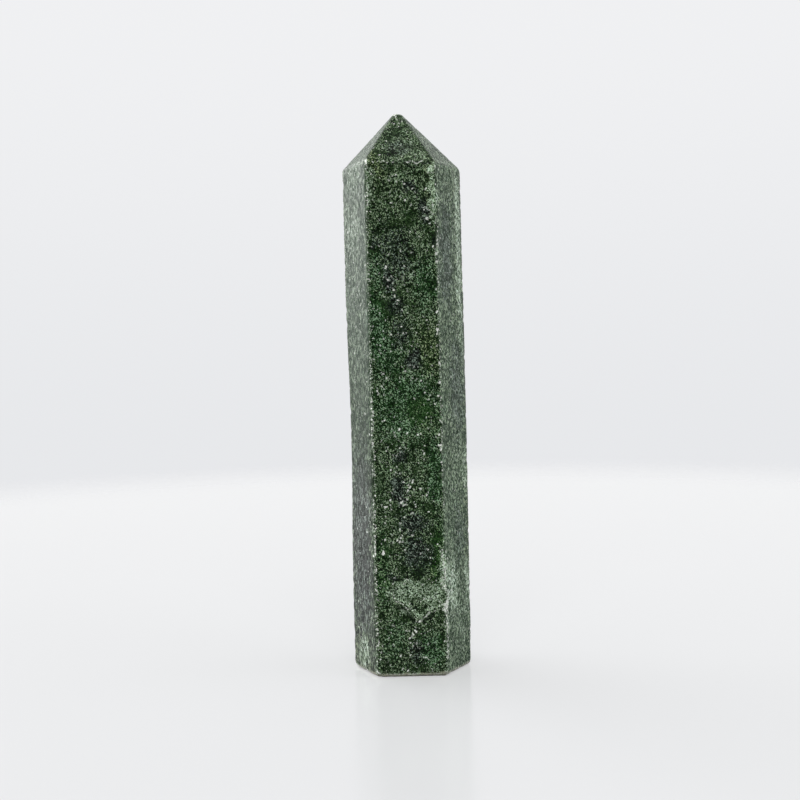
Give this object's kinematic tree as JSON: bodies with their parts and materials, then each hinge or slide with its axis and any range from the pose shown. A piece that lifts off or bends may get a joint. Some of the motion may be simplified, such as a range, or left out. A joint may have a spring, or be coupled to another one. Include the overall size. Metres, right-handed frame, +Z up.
{
  "type": "fuchsite crystal tower",
  "caption": "Free-standing polished green stone point: a slim six-sided pillar that tapers to a blunt tip and stands on its flat foot.",
  "frame": {"origin": "middle of the flat foot that the tower stands on", "axes": "+Z up along the pillar to its tip, the broad front face looks along -Y, +X to the right as seen from the front"},
  "size_m": [0.0191, 0.0135, 0.0883],
  "materials": {
    "stone": "worn polish, mottled dark green with grey-black patches and fine pale mica flecks"
  },
  "bodies": {
    "root": {"crystal_tower": "stone"}
  },
  "joints": []
}
